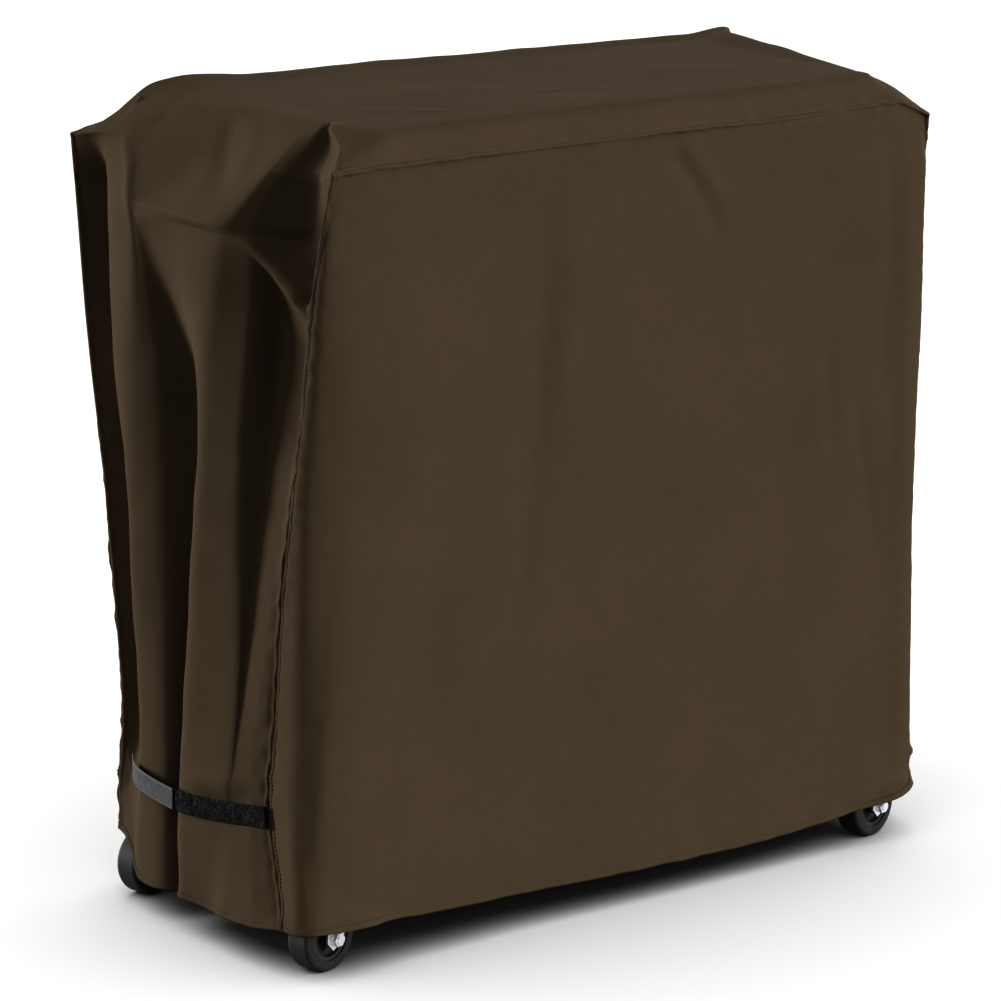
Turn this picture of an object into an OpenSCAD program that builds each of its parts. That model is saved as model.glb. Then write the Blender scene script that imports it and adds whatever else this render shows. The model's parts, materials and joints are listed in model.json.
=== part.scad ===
// Fitted fabric cover over a four-caster cart grill.
// Millimetres. X runs along the cart, the front faces -Y, Z = 0 is the floor.

/* [Cover] */
// Length of the cover between its corners at the top seams
cover_l = 848; // [820:1:870]
// Depth of the cover across its two top seams
cover_d = 452; // [440:1:470]
// Height of the flat top above the floor
cover_h = 900; // [890:1:910]
// Drop from the flat top to the top seams
seam_drop = 32; // [24:1:40]
// Length of the flat top
plateau_l = 800; // [780:1:820]
// Depth of the flat top
plateau_d = 390; // [380:1:400]
// Length of the cover at its hem
hem_l = 906; // [900:1:910]
// Depth of the cover at its hem
hem_d = 412; // [408:1:420]
// Height of the hem above the floor
hem_z = 45; // [40:1:50]
// Width of the folded hem band
hem_w = 48; // [40:1:50]
// Thickness that stands in for one layer of fabric
fabric_t = 2; // [1.5:0.1:2.5]
// Depth of the pleat between the two ridges of each end, at the hem
pleat_depth = 54; // [30:1:56]

/* [Straps] */
// Width of the hook-and-loop straps
strap_w = 25; // [20:1:30]
// Thickness of each strap layer
strap_t = 1.5; // [1:0.1:1.8]
// Height of the strap's lower edge above the floor
strap_z = 144; // [120:1:180]
// Length of hook strap that lies over the loop strap
strap_lap = 24; // [16:1:40]

/* [Cart] */
// Distance between the leg centres along the cart
leg_pitch_x = 784; // [776:1:790]
// Distance between the leg centres across the cart
leg_pitch_y = 332; // [324:1:336]
// Side of the square leg tube
leg_w = 30; // [25:1:32]
// Wall of the leg and rail tubes
tube_wall = 1.5; // [1.2:0.1:2]
// Width of the rails between the legs
rail_w = 25; // [20:1:25]
// Height of the underside of the firebox
firebox_z = 620; // [600:5:640]
// Length of the firebox and lid
body_l = 786; // [780:1:790]
// Depth of the firebox and lid
body_d = 370; // [360:1:372]
// Height of the joint between the firebox and the lid
lid_z = 790; // [780:1:795]
// Sheet thickness of the firebox and lid
sheet_t = 2; // [1.5:0.1:2.5]
// How far the sloped ends of the lid's top reach in and down
lid_slope = 41; // [30:1:50]
// Corner radius of the firebox and lid
body_r = 14; // [8:1:20]
// Width of each end handle
handle_w = 176; // [150:1:180]
// Diameter of the handle tube
handle_dia = 18; // [16:1:20]

/* [Casters] */
// Wheel diameter
wheel_dia = 76; // [74:1:76]
// Wheel width
wheel_w = 30; // [28:1:31]
// Distance from the swivel axis back to the axle
trail = 16; // [14:1:18]
// Heading of the swivels, from the cart's long axis
caster_yaw = 12; // [0:1:20]
// Axle bolt diameter
axle_dia = 10; // [8:1:10]
// Side of the square top plate
plate_w = 60; // [58:1:62]

/* [Hidden] */
$fn = 48;

fabric = [0.27, 0.23, 0.17];
webbing = [0.33, 0.33, 0.34];
loop_tape = [0.14, 0.14, 0.15];
black_steel = [0.12, 0.12, 0.13];
enamel = [0.10, 0.10, 0.11];
zinc = [0.82, 0.83, 0.85];
rubber = [0.10, 0.10, 0.10];
hub_grey = [0.24, 0.24, 0.25];

gap = 0.3;                          // clearance between a soft solid and its neighbour
eps = 0.01;

// Levels of the cover, from the seams down
seam_z = cover_h - seam_drop;
handle_top = 800;                   // top of the end handles
ridge_x = 462;                      // how far the end handles hold the fabric out
ridge_z = handle_top + 5;
pleat_z = 772;                      // where the pleats start, below the handles
band_z = hem_z + hem_w;             // top of the hem band

// Casters and legs
wheel_r = wheel_dia / 2;
axle_r = axle_dia / 2;
run_fit = 0.05;                     // radial clearance of a wheel or swivel on its pin
hub_r = 26;
cheek_in = 18;                      // half the gap between the fork cheeks
cheek_t = 3;
crown_z = 82;                       // underside of the fork crown
crown_t = 3;
ball_r = 2.9;
ball_ring_r = 15;
balls = 8;
plate_z = 94;                       // underside of the top plate
plate_t = 3;
foot_z = plate_z + plate_t;         // underside of the leg's foot flange
foot_t = 4;
bolt_r = 3;
bolt_pitch = 44;
leg_x = leg_pitch_x / 2;
leg_y = leg_pitch_y / 2;
rail_z_low = 110;
rail_z_top = firebox_z - rail_w;

// Mix of a and b: a at k = 0, b at k = 1
function mix(a, b, k) = a + (b - a) * k;

// Half length and half depth of the cover's corner line at height z
function fall(z) = (seam_z - z) / (seam_z - hem_z);
function corner_x(z) = mix(cover_l, hem_l, fall(z)) / 2;
function corner_y(z) = mix(cover_d, hem_d, fall(z)) / 2;

// A closed sheet between two grids of points, the outer one and the inner one
module sheet(outer, inner) {
    rows = len(outer);
    cols = len(outer[0]);
    count = rows * cols;
    grid = [for (i = [0 : rows - 2]) for (j = [0 : cols - 2]) [i * cols + j, (i + 1) * cols + j]];
    faces_out = [for (g = grid) each [[g[0], g[0] + 1, g[1] + 1], [g[0], g[1] + 1, g[1]]]];
    faces_in = [for (f = faces_out) [f[2] + count, f[1] + count, f[0] + count]];
    rim = concat(
        [for (j = [0 : cols - 1]) j],
        [for (i = [1 : rows - 1]) i * cols + cols - 1],
        [for (j = [cols - 2 : -1 : 0]) (rows - 1) * cols + j],
        [for (i = [rows - 2 : -1 : 1]) i * cols]
    );
    edge = [for (k = [0 : len(rim) - 1]) [rim[k], rim[(k + 1) % len(rim)]]];
    faces_rim = [for (e = edge) each [[e[1], e[0], e[0] + count], [e[1], e[0] + count, e[1] + count]]];
    polyhedron(
        points = concat([for (r = outer) each r], [for (r = inner) each r]),
        faces = concat(faces_out, faces_in, faces_rim)
    );
}

// Mirrored copy for the right end, or the plain one for the left
module end(side) {
    if (side > 0) mirror([1, 0, 0]) children();
    else children();
}

// ---- Cover ----

// Top of the strip: the flat top, its slopes to the two long seams and down to the end handles
function level_row(x, ys, z) = [for (y = ys) [x, y, z]];
function top_grid(t) =
    let (
        sy = cover_d / 2 - t,
        py = plateau_d / 2 - t / 2,
        ry = handle_w / 2 + 7 - t,
        rx = ridge_x - t,
        cx = cover_l / 2 - t,
        px = plateau_l / 2 - t / 2,
        ridge = [-ry, -ry / 2, ry / 2, ry],
        side = [-sy, -py, py, sy],
        seam = seam_z - t,
        flat = cover_h - t
    )
    [
        level_row(-rx, ridge, ridge_z - t),
        [[-cx, side[0], seam], [-px, side[1], flat], [-px, side[2], flat], [-cx, side[3], seam]],
        [[cx, side[0], seam], [px, side[1], flat], [px, side[2], flat], [cx, side[3], seam]],
        level_row(rx, ridge, ridge_z - t)
    ];
module top_panel() {
    color(fabric) sheet(top_grid(0), top_grid(fabric_t));
}

// One long panel between two heights, on the side of s (-1 front, +1 back)
function long_grid(s, z_top, z_low, inset) = [
    for (z = [z_low, z_top])
        [for (x = [-1, 1]) [-s * x * (corner_x(z) - gap), s * (corner_y(z) - inset), z]]
];
module long_panel(s, z_top, z_low, t) {
    sheet(long_grid(s, z_top, z_low, 0), long_grid(s, z_top, z_low, t));
}
module front_panel() {
    color(fabric) long_panel(-1, seam_z - fabric_t - gap, band_z + gap, fabric_t);
}
module back_panel() {
    color(fabric) long_panel(1, seam_z - fabric_t - gap, band_z + gap, fabric_t);
}
module front_hem() {
    color(fabric) long_panel(-1, band_z, hem_z, fabric_t + 1);
}
module back_hem() {
    color(fabric) long_panel(1, band_z, hem_z, fabric_t + 1);
}

// Left end: ridges over the handle's ends, with a pleat between them that deepens towards the hem
function pleat_row(z, inset) =
    let (
        k = min(1, max(0, (pleat_z - z) / (pleat_z - hem_z))),
        y_corner = corner_y(z) - fabric_t - 1 - gap,
        front_ridge = mix(-handle_w / 2, 26, k),
        back_ridge = mix(handle_w / 2, 116, k),
        valley = (front_ridge + back_ridge) / 2,
        out = mix(ridge_x - 2, ridge_x - 4, k),
        deep = mix(2, pleat_depth, k)
    )
    [
        [-corner_x(z) + inset, -y_corner, z],
        [-out + inset, front_ridge, z],
        [-out + deep + inset, valley, z],
        [-out + inset, back_ridge, z],
        [-corner_x(z) + inset, y_corner, z]
    ];
function end_top_row(inset) =
    let (r = pleat_row(pleat_z, inset), seam = seam_z - fabric_t - gap, ridge = ridge_z - fabric_t - gap)
    [
        [-cover_l / 2 + inset, -cover_d / 2 + fabric_t + 1 + gap, seam - 1],
        [-ridge_x + 2 + inset, r[1][1], ridge - 1],
        [-ridge_x + 2 + inset, r[2][1], ridge - 1],
        [-ridge_x + 2 + inset, r[3][1], ridge - 1],
        [-cover_l / 2 + inset, cover_d / 2 - fabric_t - 1 - gap, seam - 1]
    ];
function end_grid(inset) = concat(
    [end_top_row(inset)],
    [for (z = [pleat_z, 600, 350, band_z + gap]) pleat_row(z, inset)]
);
function hem_grid(inset) = [for (z = [band_z, hem_z]) pleat_row(z, inset)];
module end_panel() {
    color(fabric) sheet(end_grid(0), end_grid(fabric_t));
}
module end_hem() {
    color(fabric) sheet(hem_grid(0), hem_grid(fabric_t + 1));
}

// A flat strap that follows points in plan, standing on its edge
module strap(path, t) {
    last = len(path) - 1;
    outline = concat(path, [for (i = [last : -1 : 0]) path[i] + [t, 0]]);
    translate([0, 0, strap_z]) linear_extrude(strap_w) polygon(outline);
}
function strap_row() = pleat_row(strap_z + strap_w / 2, 0);
strap_out = ridge_x - 4 + gap + 2 * strap_t + 3;     // outer face of the hook strap
lap_y = strap_row()[1][1] - 6;                       // free end of the hook strap
// How far out the end panel stands at y, either side of its ridges
function panel_out(y, z) =
    let (row = pleat_row(z, 0), i = y < 0 ? 0 : 3)
    -mix(row[i][0], row[i + 1][0], (y - row[i][1]) / (row[i + 1][1] - row[i][1]));
// Outer face of a strap where it is sewn to the panel at y
function sewn_x(y) =
    max(panel_out(y, strap_z), panel_out(y, strap_z + strap_w)) + 6 * gap + strap_t;
loop_end_y = -corner_y(strap_z) + 84;
hook_end_y = corner_y(strap_z) - 46;
module loop_strap() {
    row = strap_row();
    color(loop_tape) strap([
        [-sewn_x(loop_end_y), loop_end_y],
        [-strap_out + strap_t + gap, row[1][1] - 12],
        [-strap_out + strap_t + gap, lap_y + strap_lap]
    ], strap_t);
}
module hook_strap() {
    row = strap_row();
    color(webbing) strap([
        [-strap_out, lap_y],
        [-strap_out, row[3][1] + 2],
        [-sewn_x(hook_end_y), hook_end_y]
    ], strap_t);
}

// ---- Cart ----

// Rounded rectangle of size l by d, its corners true arcs
module round_rect(l, d, r) {
    square([l - 2 * r, d], center = true);
    square([l, d - 2 * r], center = true);
    for (x = [-1, 1], y = [-1, 1]) translate([x * (l / 2 - r), y * (d / 2 - r)]) circle(r);
}

// Open box with a rounded plan: walls sheet_t thick round a floor that lies at its low end
module pan(l, d, h, r) {
    difference() {
        linear_extrude(h) round_rect(l, d, r);
        translate([0, 0, sheet_t]) linear_extrude(h) round_rect(l - 2 * sheet_t, d - 2 * sheet_t, r - sheet_t);
    }
}

lid_top = cover_h - fabric_t - 0.4;
lip_in = body_r - 2 * sheet_t;      // inner corner radius of the lid's lip
module lid_lip(height, out) {
    difference() {
        linear_extrude(height) round_rect(body_l - out, body_d - out, body_r - out / 2);
        translate([0, 0, -1]) linear_extrude(height + 2)
            round_rect(body_l - 4 * sheet_t - 1, body_d - 4 * sheet_t - 1, lip_in);
    }
}
// Block of the lid above z = low, its end edges sloped at the top, with every face set in by t
module lid_block(h, t, low) {
    w = body_l / 2 - t;
    w_top = body_l / 2 - lid_slope - t * tan(22.5);
    z_slope = h - lid_slope - t * tan(22.5);
    intersection() {
        translate([0, 0, low]) linear_extrude(h - t - low)
            round_rect(body_l - 2 * t, body_d - 2 * t, body_r - t);
        rotate([90, 0, 0]) linear_extrude(body_d, center = true) polygon([
            [-w, low], [w, low], [w, z_slope], [w_top, h - t], [-w_top, h - t], [-w, z_slope]
        ]);
    }
}
module lid() {
    h = lid_top - lid_z - gap;
    hold = 8;                       // height of the lip inside the lid
    reach = 6;                      // height of the lip inside the firebox
    color(enamel) translate([0, 0, lid_z + gap]) {
        difference() {
            lid_block(h, 0, 0);
            lid_block(h, sheet_t, -1);
        }
        lid_lip(hold, sheet_t);
        translate([0, 0, -reach]) lid_lip(reach + 1, 2 * sheet_t + 1);
    }
}
module firebox() {
    ledge = 10;
    color(enamel) translate([0, 0, firebox_z]) {
        pan(body_l, body_d, lid_z - firebox_z, body_r);
        // ledges that carry the two grates
        for (z = [60, 130], s = [-1, 1])
            translate([-body_l / 2 + 30, s * (body_d / 2 - sheet_t - ledge / 2) - ledge / 2, z])
                cube([body_l - 60, ledge, 3]);
    }
}

// Grate of round rods along the cart on flat cross bars
module grate(z, rods, rod_r) {
    l = body_l - 80;
    d = body_d - 2 * sheet_t - 8;
    bar = 8;
    translate([0, 0, z]) {
        for (x = [-l / 2 + 40, -bar / 2, l / 2 - 40 - bar]) translate([x, -d / 2, 0]) cube([bar, d, 4]);
        for (i = [0 : rods - 1])
            translate([-l / 2, mix(-d / 2 + rod_r + 2, d / 2 - rod_r - 2, i / (rods - 1)), 4 + rod_r - 0.6])
                rotate([0, 90, 0]) cylinder(h = l, r = rod_r);
    }
}
module cooking_grate() {
    color(zinc) grate(firebox_z + 133 + gap, 15, 3);
}
module charcoal_grate() {
    color(black_steel) grate(firebox_z + 63 + gap, 9, 4);
}

hinge_y = body_d / 2 + 6;
hinge_xs = [-260, 260];
knuckle_r = 4.5;
pin_r = 2;
module lid_hinges() {
    knuckle = 14;
    leaf = 1.6;
    color(zinc) for (x = hinge_xs) translate([x, hinge_y, lid_z]) {
        // firebox leaf with its two knuckles, then the lid leaf with the middle one
        difference() {
            union() {
                for (k = [-1, 1]) translate([k * (knuckle + 0.5) - knuckle / 2, 0, 0])
                    rotate([0, 90, 0]) cylinder(h = knuckle, r = knuckle_r);
                translate([-22, -6, -26]) cube([44, leaf, 18]);
                for (k = [-1, 1]) translate([k * (knuckle + 0.5) - knuckle / 2, -6, -18]) cube([knuckle, leaf, 18]);
            }
            translate([-40, 0, 0]) rotate([0, 90, 0]) cylinder(h = 80, r = pin_r + run_fit);
        }
        difference() {
            union() {
                translate([-knuckle / 2, 0, 0]) rotate([0, 90, 0]) cylinder(h = knuckle, r = knuckle_r);
                translate([-22, -6, 8]) cube([44, leaf, 18]);
                translate([-knuckle / 2, -6, 0]) cube([knuckle, leaf, 18]);
            }
            translate([-40, 0, 0]) rotate([0, 90, 0]) cylinder(h = 80, r = pin_r + run_fit);
        }
    }
}
module hinge_pins() {
    color(zinc) for (x = hinge_xs) translate([x - 26, hinge_y, lid_z]) rotate([0, 90, 0]) {
        cylinder(h = 52, r = pin_r);
        translate([0, 0, -2]) cylinder(h = 2, r = 3.2);
    }
}

// End handle: a tube across the end on two flat brackets
handle_x = ridge_x - 6 - handle_dia / 2;
handle_z = handle_top - handle_dia / 2 - 2;
module end_handle() {
    r = handle_dia / 2;
    reach = handle_x - body_l / 2;
    color(black_steel) {
        translate([-handle_x, handle_w / 2, handle_z]) rotate([90, 0, 0]) cylinder(h = handle_w, r = r);
        for (s = [-1, 1]) translate([-handle_x, s * (handle_w / 2 - 14) - 2, handle_z - 8]) {
            cube([reach, 4, 8]);
            translate([reach - 3, -10, -14]) cube([3, 24, 22]);
        }
    }
}

// Leg: square tube on a foot flange that takes the caster's four bolts
module leg(sx, sy) {
    color(black_steel) translate([sx * leg_x, sy * leg_y, foot_z]) {
        difference() {
            translate([-plate_w / 2, -plate_w / 2, 0]) cube([plate_w, plate_w, foot_t]);
            for (x = [-1, 1], y = [-1, 1]) translate([x * bolt_pitch / 2, y * bolt_pitch / 2, -1])
                cylinder(h = foot_t + 2, r = bolt_r + 0.2);
        }
        difference() {
            translate([-leg_w / 2, -leg_w / 2, foot_t - eps]) cube([leg_w, leg_w, firebox_z - foot_z - foot_t + eps]);
            translate([-leg_w / 2 + tube_wall, -leg_w / 2 + tube_wall, foot_t])
                cube([leg_w - 2 * tube_wall, leg_w - 2 * tube_wall, firebox_z]);
            // hole for the rail bolts, low and high
            for (z = [rail_z_low, rail_z_top]) translate([0, 0, z + rail_w / 2 - foot_z]) rotate([0, 90, 0])
                cylinder(h = leg_w + 2, r = bolt_r + 0.2, center = true);
        }
    }
}

// Rail: square tube between two legs, closed at each end by a plate with a tapped hole for its bolt
module rail(length) {
    difference() {
        translate([-length / 2, -rail_w / 2, 0]) cube([length, rail_w, rail_w]);
        translate([-length / 2 + 6, -rail_w / 2 + tube_wall, tube_wall])
            cube([length - 12, rail_w - 2 * tube_wall, rail_w - 2 * tube_wall]);
        for (s = [-1, 1]) translate([s * length / 2, 0, rail_w / 2]) rotate([0, 90, 0])
            cylinder(h = 14, r = bolt_r + run_fit, center = true);
    }
}
long_rail = leg_pitch_x - leg_w - 2 * gap;
short_rail = leg_pitch_y - leg_w - 2 * gap;
module long_rail_at(s, z) {
    color(black_steel) translate([0, s * leg_y, z]) rail(long_rail);
}
module short_rail_at(s) {
    color(black_steel) translate([s * leg_x, 0, rail_z_top]) rotate([0, 0, 90]) difference() {
        translate([-short_rail / 2, -rail_w / 2, 0]) cube([short_rail, rail_w, rail_w]);
        translate([-short_rail / 2 - 1, -rail_w / 2 + tube_wall, tube_wall])
            cube([short_rail + 2, rail_w - 2 * tube_wall, rail_w - 2 * tube_wall]);
    }
}

// Folded sheet shelf that hooks over the two low rails
module shelf() {
    l = 700;
    d = leg_pitch_y + rail_w + 2 * (sheet_t + gap);
    color(black_steel) translate([-l / 2, -d / 2, rail_z_low + rail_w + gap]) {
        cube([l, d, sheet_t]);
        for (y = [0, d - sheet_t]) translate([0, y, -18]) cube([l, sheet_t, 18 + eps]);
    }
}

// Hex-headed bolt that points up from z = 0, its head below
module bolt(r, length, head_r, head_h) {
    cylinder(h = length, r = r);
    translate([0, 0, -head_h]) cylinder(h = head_h, r = head_r, $fn = 6);
}
module rail_bolts() {
    color(zinc) for (sx = [-1, 1], sy = [-1, 1], z = [rail_z_low, rail_z_top])
        translate([sx * (leg_x + leg_w / 2 + gap), sy * leg_y, z + rail_w / 2]) rotate([0, -sx * 90, 0])
            bolt(bolt_r, leg_w + 6, 5.5, 4);
}
module caster_bolts() {
    color(zinc) for (sx = [-1, 1], sy = [-1, 1], x = [-1, 1], y = [-1, 1])
        translate([sx * leg_x + x * bolt_pitch / 2, sy * leg_y + y * bolt_pitch / 2, plate_z]) {
            translate([0, 0, -gap]) bolt(bolt_r, 16, 5.5, 3.6);
            translate([0, 0, plate_t + foot_t + gap]) difference() {
                cylinder(h = 5, r = 5.5, $fn = 6);
                translate([0, 0, -1]) cylinder(h = 7, r = bolt_r + run_fit);
            }
        }
}

// ---- Casters ----

module at_caster(sx, sy) {
    translate([sx * leg_x, sy * leg_y, 0]) rotate([0, 0, caster_yaw]) children();
}

// Top plate with its raceway cup, square to the cart
module plate(sx, sy) {
    cup_r = 21.5;
    color(zinc) translate([sx * leg_x, sy * leg_y, 0]) difference() {
        union() {
            translate([-plate_w / 2, -plate_w / 2, plate_z]) cube([plate_w, plate_w, plate_t - gap / 2]);
            translate([0, 0, crown_z + crown_t + 1.2]) cylinder(h = plate_z - crown_z - crown_t - 1.2 + eps, r = cup_r);
        }
        translate([0, 0, crown_z]) cylinder(h = crown_t + 2 * ball_r + 0.2, r = cup_r - 2);
        cylinder(h = 120, r = axle_r + run_fit);
        for (x = [-1, 1], y = [-1, 1]) translate([x * bolt_pitch / 2, y * bolt_pitch / 2, plate_z - 1])
            cylinder(h = plate_t + 2, r = bolt_r + 0.2);
    }
}
module kingpins() {
    color(zinc) for (sx = [-1, 1], sy = [-1, 1]) translate([sx * leg_x, sy * leg_y, 0]) {
        translate([0, 0, crown_z - 1]) cylinder(h = foot_z - crown_z + 0.5, r = axle_r);
        translate([0, 0, crown_z - 2.6]) cylinder(h = 2.5, r = 8);
    }
}
module swivel_balls() {
    color(zinc) for (sx = [-1, 1], sy = [-1, 1], i = [0 : balls - 1])
        translate([sx * leg_x, sy * leg_y, crown_z + crown_t + ball_r + 0.1]) rotate([0, 0, i * 360 / balls])
            translate([ball_ring_r, 0, 0]) sphere(ball_r, $fn = 24);
}

// Side outline of a fork cheek, in X and Z from the swivel axis and the floor
cheek_outline = [
    [-23, crown_z + crown_t], [-26, 60], [-trail - 12, wheel_r - 3], [-trail - 3, wheel_r - 13],
    [-trail + 11, wheel_r - 5], [8, 62], [22, crown_z + crown_t]
];
module fork(sx, sy) {
    wide = cheek_in + cheek_t;
    color(zinc) at_caster(sx, sy) difference() {
        union() {
            for (s = [-1, 1]) translate([0, s > 0 ? wide : -cheek_in, 0]) rotate([90, 0, 0])
                linear_extrude(cheek_t) polygon(cheek_outline);
            intersection() {
                translate([0, 0, crown_z]) cylinder(h = crown_t, r = 25);
                translate([-40, -wide, crown_z]) cube([80, 2 * wide, crown_t]);
            }
        }
        translate([0, 0, crown_z - 1]) cylinder(h = crown_t + 2, r = axle_r + run_fit);
        translate([-trail, 0, wheel_r]) rotate([90, 0, 0]) cylinder(h = 60, r = axle_r + run_fit, center = true);
    }
}
module axle(sx, sy) {
    wide = cheek_in + cheek_t + 0.2;
    color(zinc) at_caster(sx, sy) translate([-trail, 0, wheel_r]) {
        translate([0, wide, 0]) rotate([90, 0, 0]) bolt(axle_r, 2 * wide + 9, 8, 5);
        translate([0, -wide, 0]) rotate([90, 0, 0]) difference() {
            cylinder(h = 7, r = 8, $fn = 6);
            translate([0, 0, -1]) cylinder(h = 9, r = axle_r + run_fit);
        }
    }
}
module hub(sx, sy) {
    rim = 4;
    color(hub_grey) at_caster(sx, sy) translate([-trail, 0, wheel_r]) rotate([90, 0, 0]) rotate_extrude()
        polygon([
            [axle_r + run_fit, -cheek_in + 0.6], [10, -cheek_in + 0.6], [11, -8], [hub_r - rim, -6],
            [hub_r - rim, -wheel_w / 2 + 2], [hub_r, -wheel_w / 2 + 2], [hub_r, wheel_w / 2 - 2],
            [hub_r - rim, wheel_w / 2 - 2], [hub_r - rim, 6], [11, 8], [10, cheek_in - 0.6],
            [axle_r + run_fit, cheek_in - 0.6]
        ]);
}
module tyre(sx, sy) {
    shoulder = 5;
    in_r = hub_r + 0.02;
    h = wheel_w / 2;
    color(rubber) at_caster(sx, sy) translate([-trail, 0, wheel_r]) rotate([90, 0, 0]) rotate_extrude()
        union() {
            translate([in_r, -h]) square([wheel_r - shoulder - in_r, wheel_w]);
            translate([in_r, -h + shoulder]) square([wheel_r - in_r, wheel_w - 2 * shoulder]);
            for (s = [-1, 1]) translate([wheel_r - shoulder, s * (h - shoulder)]) circle(shoulder);
        }
}

top_panel();
front_panel();
back_panel();
end(-1) end_panel();  // left_end_panel
end(1) end_panel();  // right_end_panel
front_hem();
back_hem();
end(-1) end_hem();  // left_hem
end(1) end_hem();  // right_hem
end(-1) loop_strap();  // left_loop_strap
end(-1) hook_strap();  // left_hook_strap
end(1) loop_strap();  // right_loop_strap
end(1) hook_strap();  // right_hook_strap
lid();
lid_hinges();
hinge_pins();
firebox();
cooking_grate();
charcoal_grate();
end(-1) end_handle();  // left_handle
end(1) end_handle();  // right_handle
leg(-1, -1);  // front_left_leg
leg(1, -1);  // front_right_leg
leg(-1, 1);  // back_left_leg
leg(1, 1);  // back_right_leg
long_rail_at(-1, rail_z_top);  // front_top_rail
long_rail_at(1, rail_z_top);  // back_top_rail
short_rail_at(-1);  // left_top_rail
short_rail_at(1);  // right_top_rail
long_rail_at(-1, rail_z_low);  // front_low_rail
long_rail_at(1, rail_z_low);  // back_low_rail
shelf();
rail_bolts();
caster_bolts();
kingpins();
swivel_balls();
plate(-1, -1);  // front_left_plate
fork(-1, -1);  // front_left_fork
axle(-1, -1);  // front_left_axle
hub(-1, -1);  // front_left_hub
tyre(-1, -1);  // front_left_tyre
plate(1, -1);  // front_right_plate
fork(1, -1);  // front_right_fork
axle(1, -1);  // front_right_axle
hub(1, -1);  // front_right_hub
tyre(1, -1);  // front_right_tyre
plate(-1, 1);  // back_left_plate
fork(-1, 1);  // back_left_fork
axle(-1, 1);  // back_left_axle
hub(-1, 1);  // back_left_hub
tyre(-1, 1);  // back_left_tyre
plate(1, 1);  // back_right_plate
fork(1, 1);  // back_right_fork
axle(1, 1);  // back_right_axle
hub(1, 1);  // back_right_hub
tyre(1, 1);  // back_right_tyre
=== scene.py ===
"""A fitted weather cover over a rolling cart grill: cloth, straps and every finish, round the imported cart.

Metres, in the row frame: X along the cart, the front faces -Y, Z = 0 is the floor.
The cover is one strip of cloth (left end, top, right end) sewn between a front panel and a back panel.
"""

import json
import math

import bmesh
import bpy
import numpy as np
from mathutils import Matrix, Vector, noise
from mathutils.bvhtree import BVHTree


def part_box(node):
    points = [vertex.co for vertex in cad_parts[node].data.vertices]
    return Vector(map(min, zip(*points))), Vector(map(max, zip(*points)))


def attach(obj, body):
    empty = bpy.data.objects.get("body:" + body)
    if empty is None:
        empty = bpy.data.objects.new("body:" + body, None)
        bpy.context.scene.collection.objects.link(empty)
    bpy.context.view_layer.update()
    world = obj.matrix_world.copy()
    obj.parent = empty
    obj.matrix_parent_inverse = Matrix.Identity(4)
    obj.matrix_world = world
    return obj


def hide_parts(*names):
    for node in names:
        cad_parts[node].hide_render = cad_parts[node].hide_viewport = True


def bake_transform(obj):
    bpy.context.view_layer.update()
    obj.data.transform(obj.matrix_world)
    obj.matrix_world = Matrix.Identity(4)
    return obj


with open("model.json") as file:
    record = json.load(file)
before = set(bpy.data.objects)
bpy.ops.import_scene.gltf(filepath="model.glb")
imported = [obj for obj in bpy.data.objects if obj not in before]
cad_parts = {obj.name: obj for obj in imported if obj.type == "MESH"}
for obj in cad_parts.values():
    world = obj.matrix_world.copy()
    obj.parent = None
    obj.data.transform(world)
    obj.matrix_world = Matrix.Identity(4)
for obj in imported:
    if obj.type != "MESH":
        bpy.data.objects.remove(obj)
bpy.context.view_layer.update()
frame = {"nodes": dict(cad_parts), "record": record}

MM = 0.001

# ---- smooth curves through points


def hermite(knots, values, at):
    """Smooth curve through values at rising knots, sampled at at. Linear in the values."""
    knots = np.asarray(knots, float)
    values = np.asarray(values, float)
    flat = values.reshape(len(knots), -1)
    step = np.diff(knots)
    secant = np.diff(flat, axis=0) / step[:, None]
    slope = np.empty_like(flat)
    slope[0], slope[-1] = secant[0], secant[-1]
    before, after = step[:-1, None], step[1:, None]
    slope[1:-1] = (secant[:-1] * after + secant[1:] * before) / (before + after)
    at = np.clip(np.asarray(at, float), knots[0], knots[-1])
    k = np.clip(np.searchsorted(knots, at, side="right") - 1, 0, len(step) - 1)
    h = step[k]
    t = (at - knots[k]) / h
    a = (1 + 2 * t) * (1 - t) ** 2
    b = t * (1 - t) ** 2 * h
    c = t * t * (3 - 2 * t)
    d = t * t * (t - 1) * h
    out = a[:, None] * flat[k] + b[:, None] * slope[k] + c[:, None] * flat[k + 1] + d[:, None] * slope[k + 1]
    return out.reshape((len(at),) + values.shape[1:])


def basis(knots, at):
    """Matrix that takes the values at knots to the smooth curve's values at at."""
    return hermite(knots, np.eye(len(knots)), at)


def smooth(edge0, edge1, x):
    """0 before edge0, 1 after edge1, and an S curve between."""
    t = np.clip((x - edge0) / (edge1 - edge0), 0, 1)
    return t * t * (3 - 2 * t)


def line_at(points, z):
    """Fold line through (z, out, y) points, sampled at heights z, as rows of (out, y)."""
    points = np.array(points, float)
    return hermite(points[:, 0], points[:, 1:], z)


# ---- shape of the cover

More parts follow.
